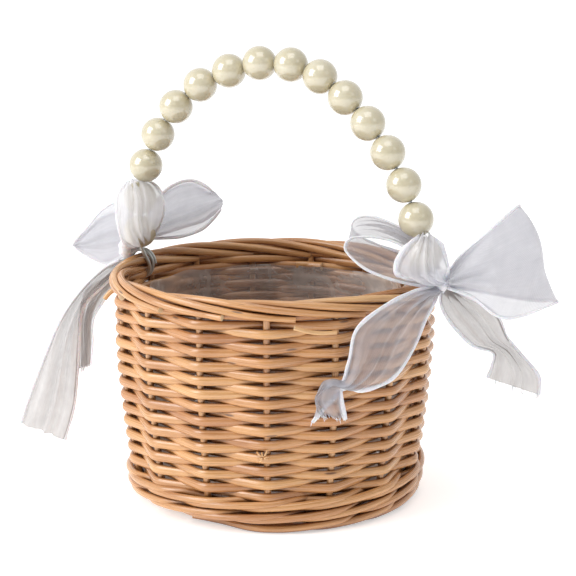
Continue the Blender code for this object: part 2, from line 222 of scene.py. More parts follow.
def ramp(nodes, links, value, stops):
    """The colour that the stops give for the value."""
    made = nodes.new("ShaderNodeValToRGB")
    elements = made.color_ramp.elements
    while len(elements) < len(stops):
        elements.new(0.5)
    for element, (position, colour) in zip(elements, stops):
        element.position = position
        element.color = (*colour, 1)
    links.new(value, made.inputs[0])
    return made.outputs[0]


def vary_roughness(nodes, links, shader, value, low, high):
    made = nodes.new("ShaderNodeMapRange")
    made.inputs["To Min"].default_value = low
    made.inputs["To Max"].default_value = high
    links.new(value, made.inputs["Value"])
    links.new(made.outputs[0], shader.inputs["Roughness"])


def add_bump(nodes, links, shader, height, strength, distance):
    made = nodes.new("ShaderNodeBump")
    made.inputs["Strength"].default_value = strength
    made.inputs["Distance"].default_value = distance
    links.new(height, made.inputs["Height"])
    links.new(made.outputs[0], shader.inputs["Normal"])


def mix_colour(nodes, links, factor, one, other, blend="MIX"):
    made = nodes.new("ShaderNodeMix")
    made.data_type = "RGBA"
    made.blend_type = blend
    for socket, value in ((made.inputs[0], factor), (made.inputs[6], one), (made.inputs[7], other)):
        if isinstance(value, bpy.types.NodeSocket):
            links.new(value, socket)
        elif isinstance(value, tuple):
            socket.default_value = (*value, 1)
        else:
            socket.default_value = value
    return made.outputs[2]


def noise_node(nodes, links, vector, scale, detail=3, roughness=0.5):
    made = nodes.new("ShaderNodeTexNoise")
    made.inputs["Scale"].default_value = scale
    made.inputs["Detail"].default_value = detail
    made.inputs["Roughness"].default_value = roughness
    links.new(vector, made.inputs["Vector"])
    return made.outputs["Fac"]


def attribute(nodes, name, output="Vector"):
    made = nodes.new("ShaderNodeAttribute")
    made.attribute_name = name
    return made.outputs[output]


def scaled(nodes, links, vector, scale):
    made = nodes.new("ShaderNodeMapping")
    made.inputs["Scale"].default_value = scale
    links.new(vector, made.inputs["Vector"])
    return made.outputs[0]


def mix_shaders(nodes, links, factor, one, other):
    made = nodes.new("ShaderNodeMixShader")
    if isinstance(factor, bpy.types.NodeSocket):
        links.new(factor, made.inputs[0])
    else:
        made.inputs[0].default_value = factor
    links.new(one.outputs[0], made.inputs[1])
    links.new(other.outputs[0], made.inputs[2])
    return made


def willow_material():
    """Buff willow: each rod has its own tone, with fibres along it, darker bud scars, painted shade in the
    gaps between rods and a dull shine.
    """
    material, nodes, links, shader = new_material("buff_willow")
    grain = attribute(nodes, "grain")
    tint = attribute(nodes, "tint", "Fac")
    shades = ramp(nodes, links, tint, [
        (0, (0.41, 0.15, 0.05)), (0.25, (0.53, 0.24, 0.088)), (0.6, (0.64, 0.33, 0.127)),
        (0.85, (0.71, 0.40, 0.167)), (1, (0.81, 0.54, 0.27))])
    blotch = noise_node(nodes, links, scaled(nodes, links, grain, (25, 90, 90)), 1, 2)
    blotches = ramp(nodes, links, blotch, [
        (0.3, (0.72, 0.60, 0.50)), (0.55, (1, 1, 1)), (0.8, (1.12, 1.10, 1.02))])
    colour = mix_colour(nodes, links, 0.8, shades, blotches, "MULTIPLY")
    fibre = noise_node(nodes, links, scaled(nodes, links, grain, (60, 2600, 2600)), 1, 4, 0.6)
    fibres = ramp(nodes, links, fibre, [
        (0.32, (0.62, 0.50, 0.40)), (0.5, (1, 1, 1)), (0.72, (1.1, 1.08, 1.0))])
    colour = mix_colour(nodes, links, 0.55, colour, fibres, "MULTIPLY")
    scar = nodes.new("ShaderNodeTexVoronoi")
    scar.inputs["Scale"].default_value = 1
    links.new(scaled(nodes, links, grain, (38, 240, 240)), scar.inputs["Vector"])
    scars = ramp(nodes, links, scar.outputs["Distance"], [
        (0.0, (1, 1, 1)), (0.07, (0.9, 0.9, 0.9)), (0.12, (0, 0, 0))])
    colour = mix_colour(nodes, links, scars, colour, (0.16, 0.07, 0.03))
    pith = attribute(nodes, "pith", "Fac")
    colour = mix_colour(nodes, links, pith, colour, (0.80, 0.62, 0.38))
    # Painted shade: the colour darkens where ambient occlusion finds the gaps and crevices between rods.
    crevice = nodes.new("ShaderNodeAmbientOcclusion")
    crevice.samples = 8
    crevice.inputs["Distance"].default_value = 5 * MM
    painted_gap_shade = ramp(nodes, links, crevice.outputs["AO"], [
        (0.08, (0.10, 0.05, 0.025)), (0.35, (0.55, 0.42, 0.33)), (0.7, (1, 1, 1))])
    colour = mix_colour(nodes, links, 0.95, colour, painted_gap_shade, "MULTIPLY")
    links.new(colour, shader.inputs["Base Color"])
    vary_roughness(nodes, links, shader, fibre, 0.18, 0.36)
    add_bump(nodes, links, shader, fibre, 0.35, 0.3 * MM)
    shader.inputs["Specular IOR Level"].default_value = 1
    return material


def pearl_material():
    """Ivory imitation pearl: a soft body colour, darker tan toward the rim as a painted reflection of the
    surroundings, under a clear, glossy lacquer.
    """
    material, nodes, links, shader = new_material("ivory_pearl")
    where = nodes.new("ShaderNodeTexCoord").outputs["Object"]
    cloud = noise_node(nodes, links, where, 90, 3)
    shades = ramp(nodes, links, cloud, [
        (0.3, (0.58, 0.52, 0.36)), (0.55, (0.65, 0.59, 0.43)), (0.8, (0.70, 0.65, 0.51))])
    # Painted reflection: toward the rim, as seen from the camera, the body colour turns darker tan, standing
    # in for the warm surroundings reflected there.
    facing = nodes.new("ShaderNodeLayerWeight")
    facing.inputs["Blend"].default_value = 0.35
    colour = mix_colour(nodes, links, facing.outputs["Facing"], shades, (0.47, 0.41, 0.25))
    links.new(colour, shader.inputs["Base Color"])
    fine = noise_node(nodes, links, where, 700, 2)
    vary_roughness(nodes, links, shader, fine, 0.24, 0.34)
    shader.inputs["Coat Weight"].default_value = 1
    shader.inputs["Coat IOR"].default_value = 1.8
    shader.inputs["Coat Roughness"].default_value = 0.08
    shader.inputs["Subsurface Weight"].default_value = 0.12
    shader.inputs["Subsurface Radius"].default_value = (0.004, 0.003, 0.002)
    shader.inputs["Subsurface Scale"].default_value = 0.6
    return material


def wire_material():
    """Dull galvanised steel with fine lengthwise drawing marks."""
    material, nodes, links, shader = new_material("drawn_steel")
    grain = attribute(nodes, "grain")
    marks = noise_node(nodes, links, scaled(nodes, links, grain, (80, 4000, 4000)), 1, 3)
    shades = ramp(nodes, links, marks, [(0.3, (0.42, 0.43, 0.42)), (0.7, (0.70, 0.71, 0.69))])
    links.new(shades, shader.inputs["Base Color"])
    vary_roughness(nodes, links, shader, marks, 0.28, 0.48)
    shader.inputs["Metallic"].default_value = 1
    return material


def organza_material(name, dark, light, least_cover, most_cover):
    """Sheer white organza: it passes light, and part of what is behind shows between its threads."""
    material, nodes, links, shader = new_material(name)
    grain = attribute(nodes, "grain")
    cloud = noise_node(nodes, links, grain, 160, 3)
    shades = ramp(nodes, links, cloud, [(0.3, dark), (0.7, light)])
    links.new(shades, shader.inputs["Base Color"])
    vary_roughness(nodes, links, shader, cloud, 0.38, 0.55)
    streak = noise_node(nodes, links, scaled(nodes, links, grain, (30, 420, 1)), 1, 3)
    add_bump(nodes, links, shader, streak, 0.25, 0.2 * MM)
    shader.inputs["Sheen Weight"].default_value = 0.25
    behind = nodes.new("ShaderNodeBsdfTranslucent")
    links.new(shades, behind.inputs["Color"])
    cloth = mix_shaders(nodes, links, 0.5, shader, behind)
    threads = nodes.new("ShaderNodeTexChecker")
    threads.inputs["Scale"].default_value = 1
    links.new(scaled(nodes, links, grain, (2200, 2200, 1)), threads.inputs["Vector"])
    cover = ramp(nodes, links, streak, [(0.3, (least_cover,) * 3), (0.7, (most_cover,) * 3)])
    cover = mix_colour(nodes, links, 0.12, cover, threads.outputs["Color"])
    sheer = mix_shaders(nodes, links, cover, nodes.new("ShaderNodeBsdfTransparent"), cloth)
    links.new(sheer.outputs[0], nodes["Material Output"].inputs[0])
    return material


def hem_material():
    """The ribbon's close-stitched hem: thick, white and nearly opaque."""
    material, nodes, links, shader = new_material("white_hem")
    grain = attribute(nodes, "grain")
    stitch = noise_node(nodes, links, scaled(nodes, links, grain, (900, 900, 900)), 1, 2)
    shades = ramp(nodes, links, stitch, [(0.3, (0.74, 0.74, 0.79)), (0.6, (0.86, 0.86, 0.89))])
    links.new(shades, shader.inputs["Base Color"])
    vary_roughness(nodes, links, shader, stitch, 0.6, 0.85)
    add_bump(nodes, links, shader, stitch, 0.6, 0.3 * MM)
    shader.inputs["Subsurface Weight"].default_value = 0.15
    shader.inputs["Subsurface Scale"].default_value = 0.002
    return material


def film_material():
    """Clear crumpled film: thin where it is smooth, milky along its creases and toward its sides, its creases
    whiter toward the top as a painted highlight, and tinted warm as painted light bounced from the willow.
    """
    material, nodes, links, shader = new_material("clear_film")
    grain = attribute(nodes, "grain")
    crease = attribute(nodes, "tint", "Fac")
    cloud = noise_node(nodes, links, grain, 60, 4)
    # The film's warm tan colour is painted light bounced from the willow round it.
    shades = ramp(nodes, links, cloud, [(0.3, (0.86, 0.78, 0.71)), (0.7, (0.96, 0.91, 0.87))])
    links.new(shades, shader.inputs["Base Color"])
    # The film's milkiness, including the painted highlight along its creases near the rim, sets how much of
    # it shows.
    haze_and_highlight = ramp(nodes, links, crease, [(0, (0.2, 0.2, 0.2)), (0.5, (0.4, 0.4, 0.4)), (1, (0.7, 0.7, 0.7))])
    edge = nodes.new("ShaderNodeLayerWeight")
    edge.inputs["Blend"].default_value = 0.2
    alpha = mix_colour(nodes, links, edge.outputs["Facing"], haze_and_highlight, (0.5, 0.5, 0.5))
    links.new(alpha, shader.inputs["Alpha"])
    vary_roughness(nodes, links, shader, cloud, 0.2, 0.36)
    add_bump(nodes, links, shader, cloud, 0.4, 0.6 * MM)
    shader.inputs["Specular IOR Level"].default_value = 0.3
    return material


# ---------------------------------------------------------------- meshes, rods and tubes

def mesh_object(name, points, faces, material, grain=None, **values):
    """A smooth-shaded mesh, with grain coordinates and other named values for its material."""
    mesh = bpy.data.meshes.new(name)
    mesh.from_pydata([tuple(point) for point in points], [], faces)
    if grain is not None:
        layer = mesh.attributes.new("grain", "FLOAT_VECTOR", "POINT")
        layer.data.foreach_set("vector", np.asarray(grain, float).ravel())
    for label, numbers in values.items():
        layer = mesh.attributes.new(label, "FLOAT", "POINT")
        layer.data.foreach_set("value", np.asarray(numbers, float))
    mesh.shade_smooth()
    mesh.materials.append(material)
    made = bpy.data.objects.new(name, mesh)
    bpy.context.collection.objects.link(made)
    return made


class Rods:
    """Rods gathered into one mesh. Each has its own tint, and grain coordinates that run along it."""

    def __init__(self, seed):
        self.random = random.Random(seed)
        self.points, self.faces, self.grain, self.tint, self.pith = [], [], [], [], []
        self.count = 0

    def add(self, path, radii, tint, reference=(0, 0, 1), sides=ROD_SIDES, tall=1.0, cut_ends=True):
        """A tube along the path, `tall` times as thick toward the reference as across it."""
        path = np.asarray(path, float)
        radii = np.broadcast_to(np.asarray(radii, float), (len(path),))
        along = np.gradient(path, axis=0)
        along /= np.linalg.norm(along, axis=1)[:, None]
        up = np.broadcast_to(np.asarray(reference, float), along.shape)
        up = up - along * np.sum(up * along, axis=1)[:, None]
        up /= np.linalg.norm(up, axis=1)[:, None]
        side = np.cross(along, up)
        angle = np.arange(sides) * math.tau / sides
        ring = (up[:, None, :] * (np.cos(angle) * tall)[None, :, None]
                + side[:, None, :] * np.sin(angle)[None, :, None]) * radii[:, None, None]
        points = (path[:, None, :] + ring).reshape(-1, 3)
        length = np.concatenate([[0], np.cumsum(np.linalg.norm(np.diff(path, axis=0), axis=1))])
        start = self.random.uniform(0, 9)
        grain = np.stack([np.repeat(length + start, sides),
                          (radii[:, None] * np.cos(angle)[None, :]).ravel() + start,
                          (radii[:, None] * np.sin(angle)[None, :]).ravel()], 1)
        index = np.arange(len(path) * sides).reshape(len(path), sides) + self.count
        nexts = np.roll(index, -1, axis=1)
        quads = np.stack([index[:-1], nexts[:-1], nexts[1:], index[1:]], -1).reshape(-1, 4)
        self.take(points, quads.tolist(), grain, tint, 0)
        if cut_ends:
            for row, order in ((0, 1), (-1, -1)):
                rim = points.reshape(len(path), sides, 3)[row]
                face = [list(range(self.count, self.count + sides))[::-order]]
                self.take(rim, face, grain.reshape(len(path), sides, 3)[row], tint, 1)

    def take(self, points, faces, grain, tint, pith):
        """Add points and faces. Pith is 1 on a cut end and 0 on the bark."""
        self.points.append(points)
        self.faces.extend(faces)
        self.grain.append(grain)
        self.tint.append(np.full(len(points), tint))
        self.pith.append(np.full(len(points), pith))
        self.count += len(points)

    def build(self, name, material):
        return mesh_object(name, np.concatenate(self.points), self.faces, material,
                           grain=np.concatenate(self.grain), tint=np.concatenate(self.tint),
                           pith=np.concatenate(self.pith))


def around(angle, radius, height):
    return np.stack([radius * np.cos(angle), radius * np.sin(angle), height + 0 * angle], -1)


def wander(rods, count, size, pieces=6):
    """A slow random drift along a rod."""
    knots = [rods.random.uniform(-1, 1) for _ in range(pieces + 1)]
    return np.interp(np.linspace(0, pieces, count), range(pieces + 1), knots) * size


# ---------------------------------------------------------------- willow basket

def add_stakes(material):
    """Upright rods. Each foot bends into the base's edge, and each top ends in the border."""
    for number in range(1, STAKES + 1):
        rods = Rods(100 + number)
        angle = FRONT_STAKE + SPACING * (number - 1)
        heights = np.linspace(9 * MM, BORDER_MIDDLE, 60)
        wall = around(np.full(60, angle), wall_radius(heights) - STAKE_INSET, heights)
        foot = np.linspace(0, 1, 12)[:, None]
        inner = around(np.array([angle]), np.array([BASE_RADIUS - 9 * MM]), 4.2 * MM)
        elbow = around(np.array([angle]), np.array([BASE_RADIUS + 5 * MM]), 4.2 * MM)
        bend = (1 - foot) ** 2 * inner + 2 * foot * (1 - foot) * elbow + foot ** 2 * wall[:1]
        path = np.concatenate([bend[:-1], wall])
        tangent = (-math.sin(angle), math.cos(angle), 0)
        rods.add(path, STAKE_RADIUS, 0.55 + 0.3 * rods.random.random(), tangent)
        name = f"side_stake_{number:02d}"
        stake = rods.build(name + "_rod", material)
        finish_piece(stake, "basket", "willow", name)


def finish_piece(piece, body, slot, *nodes):
    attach(piece, body)
    if nodes:
        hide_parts(*nodes)
    return piece


def add_randing(name, node, material, start, turns, seed):
    """Randing: weavers spiral up, over one stake and behind the next, and start and end behind a stake."""
    rods = Rods(seed)
    last = turns * STAKES + 1 - turns % 2
    begin = 1
    while begin < last:
        stop = min(last, begin + rods.random.choice(WEAVER_RUNS))
        path, swing = randing_path(rods, start, np.arange(begin, stop + 1))
        thick = rods.random.uniform(0.94, 1.06) * np.linspace(1.05, 0.94, len(path))
        knuckle = 1 + 0.06 * swing
        rods.add(path, WEAVER_RADIUS * thick * knuckle, rod_tint(rods), tall=WEAVER_TALL)
        begin = stop
    return finish_piece(rods.build(name, material), "basket", "willow", node)


def randing_path(rods, start, stakes):
    """Straight runs from stake to stake, their corners eased, with a short tucked tail at each end."""
    swing = np.where(stakes % 2 == 0, 1.0, -1.0)
    count = len(stakes)
    height = start + ROW_PITCH * stakes / STAKES + wander(rods, count, 0.2 * MM, 12)
    offset = (STAKE_RADIUS + WEAVER_RADIUS - 0.1 * MM) * swing + wander(rods, count, 0.2 * MM, 12)
    corners = around(FRONT_STAKE + SPACING * stakes, wall_radius(height) - STAKE_INSET + offset,
                     height - 0.25 * MM * swing)
    inward = np.array([0.03, 0.03, 0])
    first = corners[0] + (corners[0] - corners[1]) * TUCKED_TAIL - corners[0] * inward
    last = corners[-1] + (corners[-1] - corners[-2]) * TUCKED_TAIL - corners[-1] * inward
    corners = np.concatenate([[first], corners, [last]])
    swing = np.concatenate([[0], swing, [0]])
    share = np.arange(0, len(corners) - 1 + 1e-6, 1 / STEPS_PER_STAKE)
    path = np.stack([np.interp(share, range(len(corners)), corners[:, axis]) for axis in range(3)], -1)
    eased = path.copy()
    for _ in range(7):
        eased[1:-1] = (eased[:-2] + eased[1:-1] + eased[2:]) / 3
    return eased, np.interp(share, range(len(corners)), swing)


def rod_tint(rods):
    """Mostly mid tan, now and then pale or reddish."""
    return min(1, max(0, rods.random.gauss(0.55, 0.16)))


def wale_swing(step):
    """In front of two stakes and behind one, over a period of three stakes: -1 inside, 1 outside."""
    step = np.mod(step, 3)
    out = np.where(step < 1, -np.cos(math.pi * step), 1 + 0.12 * np.sin(math.pi * (step - 1)))
    return np.where(step > 2, np.cos(math.pi * (step - 2)), out)


def wale_rise(step):
    """A rod comes out low, climbs over its neighbours and goes in high, then drops back inside."""
    step = np.mod(step - 0.5, 3)
    return np.where(step < 2, step - 1, 1 - 2 * (step - 2))


def add_bottom_wale(material):
    """Three thicker rods wound round the foot, each in front of two stakes and behind one."""
    rods = Rods(11)
    radius = WALE_ROD_RADIUS
    for number in range(3):
        begin = float(number)
        last = WALE_ROUNDS * STAKES + number
        while begin < last - 1:
            end = min(last, begin + rods.random.choice(WALE_RUNS))
            position = np.arange(begin - 0.4, end + 0.4, 1 / 14)
            count = len(position)
            turn = position - number
            height = radius + WALE_PITCH * position / STAKES + radius * 0.98 * wale_rise(turn)
            height = np.maximum(height, radius)
            offset = (STAKE_RADIUS + radius - 0.1 * MM) * wale_swing(turn)
            wall = wall_radius(height) - STAKE_INSET + offset + wander(rods, count, 0.25 * MM, 12)
            height = height + wander(rods, count, 0.15 * MM, 12)
            path = around(FRONT_STAKE + SPACING * position, wall, np.maximum(height, radius))
            rods.add(path, radius * np.linspace(1.05, 0.93, count), rod_tint(rods))
            begin = end
    return finish_piece(rods.build("bottom_wale_rods", material), "basket", "willow", "bottom_waling")


def add_border(material):
    """A rolled border: each stake's top runs along the rim, from inside over the top to the outside.

    Its place round the border's section is an angle in degrees: 0 outside, 90 on top, 180 inside.
    """
    rods = Rods(31)
    count = 90
    half_width = BORDER_HALF_WIDTH - BORDER_ROD_RADIUS
    half_height = BORDER_HALF_HEIGHT - BORDER_ROD_RADIUS
    for number in range(STAKES):
        step = np.linspace(0, BORDER_REACH, count)
        share = step / BORDER_REACH
        section = np.radians(BORDER_START_DEGREES - BORDER_SWEEP_DEGREES * share ** 0.92)
        section = section + wander(rods, count, math.radians(7), 5)
        angle = FRONT_STAKE + SPACING * (number + step)
        swell = 1 + wander(rods, count, 0.06, 5) + 0.5 * np.clip(share - 0.94, 0, 1) / 0.06
        radius = BORDER_RADIUS + half_width * np.cos(section) * swell
        height = BORDER_MIDDLE + half_height * np.sin(section) * (1 + wander(rods, count, 0.05, 4))
        path = around(angle, radius, height)
        path[-5:] += (path[-5:] * [1, 1, 0]) * np.linspace(0, 0.02, 5)[:, None]
        rods.add(path, BORDER_ROD_RADIUS * np.linspace(1.1, 0.85, count), rod_tint(rods) * 0.9 + 0.05)
    core = np.linspace(0, math.tau, 120)
    for lift in (-2.4, 0.8):
        path = around(core, BORDER_RADIUS - 0.4 * MM + 0 * core, BORDER_MIDDLE + lift * MM)
        rods.add(path, 2 * MM, 0.3, cut_ends=False)
    return finish_piece(rods.build("border_rods", material), "basket", "willow", "border")


def add_loose_ends(material):
    """What stays loose on a hand-woven basket: rod ends under the border and one weaver's splintered end."""
    rods = Rods(35)
    for route, radius in (([(43, -66.6, 97), (47, -64, 95.4), (52, -60, 94.2), (57.5, -55, 94)], 1.1),
                          ([(-66, -34, 98), (-69, -36, 95.5), (-71, -37.5, 92.5)], 1.35)):
        path = smooth(route) * MM
        rods.add(path, radius * MM * np.linspace(1, 0.8, len(path)), 0.9)
    knot = around(np.array([SPLINTER_ANGLE]), wall_radius(SPLINTER_HEIGHT), SPLINTER_HEIGHT)[0]
    for _ in range(9):
        reach = np.array([rods.random.uniform(-1, 1), 0, rods.random.uniform(-1, 1)])
        curl = np.linspace(0, 1, 8)[:, None]
        path = knot + reach * 3.4 * MM * curl + np.array([0.4, -0.9, 0]) * 1.8 * MM * np.sin(math.pi * curl)
        rods.add(path, 0.35 * MM, 0.9)
    return finish_piece(rods.build("loose_rod_ends", material), "basket", "willow")


def add_base(material):
    """The base: four crossed sticks, two of them through the slits of the others, paired round with rods."""
    middle = (base_low[2] + base_high[2]) / 2
    for kind, along_y, spread in (("split", True, 3.1 * MM), ("through", False, 1.9 * MM)):
        for label, side in (("a", 1), ("b", -1)):
            sticks = Rods(41 if along_y else 42)
            run = np.linspace(-BASE_RADIUS + 2 * MM, BASE_RADIUS - 2 * MM, 60)
            out = spread + np.clip(np.abs(run) - 12 * MM, 0, 1) * math.tan(math.radians(20))
            flat = np.full(60, middle)
            path = [side * out, run, flat] if along_y else [run, side * out, flat]
            thick = 2.6 * MM if along_y else 1.6 * MM
            ends = np.clip((np.abs(run) - 10 * MM) / (20 * MM), 0, 1)
            sticks.add(np.stack(path, -1), thick - (thick - 1.5 * MM) * ends, 0.6)
            name = f"base_stick_{kind}_{label}"
            finish_piece(sticks.build(name + "_rod", material), "basket", "willow", name)
    rods = Rods(43)
    for pair in (0, 1):
        rows = (BASE_RADIUS - BASE_HOLE_RADIUS) / BASE_ROW_PITCH
        position = np.arange(0, BASE_SPOKES * rows, 1 / 10)
        angle = math.tau * position / BASE_SPOKES + math.pi / BASE_SPOKES
        radius = BASE_HOLE_RADIUS + BASE_ROW_PITCH * position / BASE_SPOKES
        radius = radius + 0.7 * MM * np.sin(math.pi * (position + pair))
        lift = 2.2 * MM * np.cos(math.pi * (position + pair))
        rods.add(around(angle, radius, middle + lift), 1.4 * MM, 0.5 + 0.15 * pair)
    finish_piece(rods.build("base_weave_rods", material), "basket", "willow", "base_weave")


# ---------------------------------------------------------------- film liner

def liner_cup(share, angle):
    """Radius and height of the smooth cup, at a share of the way from the film's middle to its edge."""
    floor = base_high[2] + 0.4 * MM
    if share < LINER_FLOOR_SHARE:
        return LINER_FLOOR_RADIUS * share / LINER_FLOOR_SHARE, floor
    corner = max(0, math.cos(2 * (angle - LINER_CORNER_TURN))) ** 6
    ragged = noise.noise(Vector((math.cos(angle) * 4, math.sin(angle) * 4, 3))) * 2.4 * MM
    top = LINER_TOP + ragged + 3 * MM * corner
    climb = (share - LINER_FLOOR_SHARE) / (1 - LINER_FLOOR_SHARE)
    height = floor + (top - floor) * climb
    inset = STAKE_INSET + STAKE_RADIUS + 2 * WEAVER_RADIUS + 0.5 * MM
    radius = float(wall_radius(max(height, 12 * MM))) - inset
    radius = min(radius, LINER_FLOOR_RADIUS + climb * 60 * MM)
    lean = max(0, climb - 0.72) / 0.28
    return radius - 10 * MM * corner * lean ** 1.5, height


def liner_point(share, angle):
    """A point of the creased film, and how milky it is there, with painted highlight added along the creases
    near the rim.
    """
    radius, height = liner_cup(share, angle)
    place = Vector((radius * math.cos(angle), radius * math.sin(angle), height)) * 48
    broad = abs(noise.noise(place + Vector((5, 1, 8))))
    sharp = abs(noise.noise(place * 2.3 + Vector((1, 7, 2))))
    depth = 3.2 * MM * broad + 1.6 * MM * sharp
    if share < LINER_FLOOR_SHARE:
        height += depth * min(1, (1 - share / LINER_FLOOR_SHARE) * 6)
    else:
        radius -= depth
    milky = 0.5 + 0.5 * math.sin(2 * angle + CLEAR_FILM_TURN)
    # Creases are milkier: folded film whitens, and the whitening, strongest toward the top, is also a painted
    # highlight.
    crease = max(0, 1 - 9 * min(broad, sharp * 1.4)) * (0.25 + 0.75 * share ** 4)
    point = (radius * math.cos(angle), radius * math.sin(angle), height)
    return point, 0.35 * milky + (0.3 + 0.5 * milky) * crease


def add_liner(material):
    """A square of film pushed down into the basket, creased all over. Two of its corners lean in."""
    points, haze_and_highlight, grain = [], [], []
    for ring in range(LINER_RINGS + 1):
        share = ring / LINER_RINGS
        for spoke in range(LINER_SPOKES):
            angle = math.tau * spoke / LINER_SPOKES
            point, milkiness_and_highlight = liner_point(share, angle)
            points.append(point)
            haze_and_highlight.append(milkiness_and_highlight)
            grain.append((angle * 0.065, share * 0.14, 0))
    faces = []
    for ring in range(LINER_RINGS):
        inner, outer = ring * LINER_SPOKES, (ring + 1) * LINER_SPOKES
        for spoke in range(LINER_SPOKES):
            after = (spoke + 1) % LINER_SPOKES
            faces.append((inner + spoke, inner + after, outer + after, outer + spoke))
    liner = mesh_object("film_liner_sheet", points, faces, material, grain=grain, tint=haze_and_highlight)
    finish_piece(liner, "basket", "film", "film_liner")


# ---------------------------------------------------------------- handle

def bead_shape():
    """A bead bored along Z: its points in rings, and faces that run on through the bore."""
    sides, rings = 48, 30
    start = math.asin(PEARL_BORE_RADIUS / PEARL_RADIUS)
    polar = np.linspace(start, math.pi - start, rings)
    lip = PEARL_RADIUS * math.cos(start) - 0.25 * MM
    bore = [PEARL_BORE_RADIUS * 0.9]
    radii = np.concatenate([bore, PEARL_RADIUS * np.sin(polar), bore])
    heights = np.concatenate([[lip], PEARL_RADIUS * np.cos(polar), [-lip]])
    angle = np.arange(sides) * math.tau / sides
    shape = np.stack([radii[:, None] * np.cos(angle), radii[:, None] * np.sin(angle),
                      heights[:, None] + 0 * angle], -1).reshape(-1, 3)
    faces = []
    for ring in range(len(radii)):
        here, below = ring * sides, (ring + 1) % len(radii) * sides
        for side in range(sides):
            after = (side + 1) % sides
            faces.append((here + side, below + side, below + after, here + after))
    return shape, faces


def add_pearls(material):
    """Sixteen round beads, each bored along the wire, each turning with its own body."""
    shape, faces = bead_shape()
    for number in range(1, PEARL_COUNT + 1):
        name = f"pearl_{number:02d}"
        joint = JOINTS[name + "_spin"]
        turn = Vector(joint["axis"]).to_track_quat("Z", "Y")
        centre = Vector(joint["pos_m"])
        points = [turn @ Vector(point) + centre for point in shape]
        pearl = mesh_object(name + "_bead", points, faces, material)
        finish_piece(pearl, name, "pearl", name)


def smooth(points, steps=14):
    """A Catmull-Rom curve through the points, with this many steps between each two."""
    points = np.asarray(points, float)
    ends = np.concatenate([[2 * points[0] - points[1]], points, [2 * points[-1] - points[-2]]])
    t = np.linspace(0, 1, steps, endpoint=False)[:, None]
    parts = []
    for before, start, stop, after in zip(ends, ends[1:], ends[2:], ends[3:]):
        square = (2 * before - 5 * start + 4 * stop - after) * t ** 2
        cube = (3 * start - before - 3 * stop + after) * t ** 3
        parts.append(0.5 * (2 * start + (stop - before) * t + square + cube))
    return np.concatenate(parts + [points[-1:]])


def wire_wrap(side):
    """Two turns of wire round the border, ending where the handle's foot leaves it."""
    turn = np.linspace(0, 2, 60)
    width = BORDER_HALF_WIDTH + WIRE_WRAP_GAP + WIRE_RADIUS
    height = BORDER_HALF_HEIGHT + WIRE_WRAP_GAP + WIRE_RADIUS
    angle = -math.tau * turn
    return np.stack([side * BORDER_RADIUS + width * np.cos(angle), (turn - 1) * WIRE_WRAP_PITCH,
                     BORDER_MIDDLE + height * np.sin(angle)], -1)


def add_wire(material):
    """One wire: two turns on the border, up through the beads and down to two more turns."""
    centres, axes = [], []
    for number in range(1, PEARL_COUNT + 1):
        joint = JOINTS[f"pearl_{number:02d}_spin"]
        centres.append(np.array(joint["pos_m"]))
        axes.append(np.array(joint["axis"]))
    first_foot = centres[0] - axes[0] * 9 * MM
    last_foot = centres[-1] + axes[-1] * 9 * MM
    arch = smooth([first_foot, *centres, last_foot], 12)
    rods = Rods(51)
    path = np.concatenate([wire_wrap(-1)[::-1], arch, wire_wrap(1)])
    path[1:-1] = (path[:-2] + 2 * path[1:-1] + path[2:]) / 4
    rods.add(path, WIRE_RADIUS, 0.5, reference=(0, 1, 0.3), sides=14)
    finish_piece(rods.build("handle_wire_rod", material), "handle", "wire", "handle_wire")


# ---------------------------------------------------------------- bows

def ribbon_normals(one, middle, other):
    """Which way the ribbon faces at each row, kept from flipping over and smoothed along it."""
    normal = np.cross(np.gradient(middle, axis=0), other - one)
    normal /= np.linalg.norm(normal, axis=1)[:, None] + 1e-12
    for row in range(1, len(normal)):
        if normal[row] @ normal[row - 1] < 0:
            normal[row] *= -1
    for _ in range(6):
        normal[1:-1] = (normal[:-2] + normal[1:-1] + normal[2:]) / 3
    return normal / np.linalg.norm(normal, axis=1)[:, None]


def pleat_depth(chord, share, loop, pleats):
    """How deep the pleats are at each row: they take up the ribbon's width that its outline doesn't need."""
    from_knot = np.minimum(share, 1 - share) * 2 if loop else share
    gathered = np.clip(1 - from_knot / 0.75, 0, 1) ** 0.8
    spare = np.sqrt(np.maximum(RIBBON_WIDTH ** 2 - chord ** 2, 0)) / (4 * pleats)
    depth = np.minimum(spare, DEEPEST_PLEAT) * (0.8 + 0.2 * gathered)
    if loop:
        depth *= 1 - 0.9 * np.exp(-((share - 0.5) / 0.15) ** 2)
    return depth


def ribbon_surface(guides, loop, pleats, bulge, seed):
    """Points of a gathered ribbon, as rows along it and columns across, with the normal of each row."""
    lines = [smooth(guide) * MM for guide in guides]
    one, other = lines[0], lines[1]
    middle = lines[2] if len(lines) > 2 else (one + other) / 2
    normal = ribbon_normals(one, middle, other)
    share = np.linspace(0, 1, len(one))
    depth = pleat_depth(np.linalg.norm(other - one, axis=1), share, loop, pleats)
    across = np.linspace(0, 1, RIBBON_COLUMNS + 1)
    chance = random.Random(seed)
    phase = chance.uniform(0, 1) + 0.35 * np.sin(share * chance.uniform(3, 6))
    uneven = 0.18 * np.sin(math.tau * across[None, :] * 1.7)
    wave = np.sin(math.tau * (pleats * across[None, :] + uneven + phase[:, None]))
    taper = np.sin(math.pi * across) ** 0.35
    crown = bulge * MM * (4 * across * (1 - across)) * np.sin(math.pi * share)[:, None]
    lift = depth[:, None] * wave * taper + crown
    blend = np.stack([(1 - across) * (1 - 2 * across), 4 * across * (1 - across), across * (2 * across - 1)])
    points = sum(line[:, None, :] * weight[None, :, None]
                 for line, weight in zip((one, middle, other), blend))
    return points + normal[:, None, :] * lift[:, :, None], normal


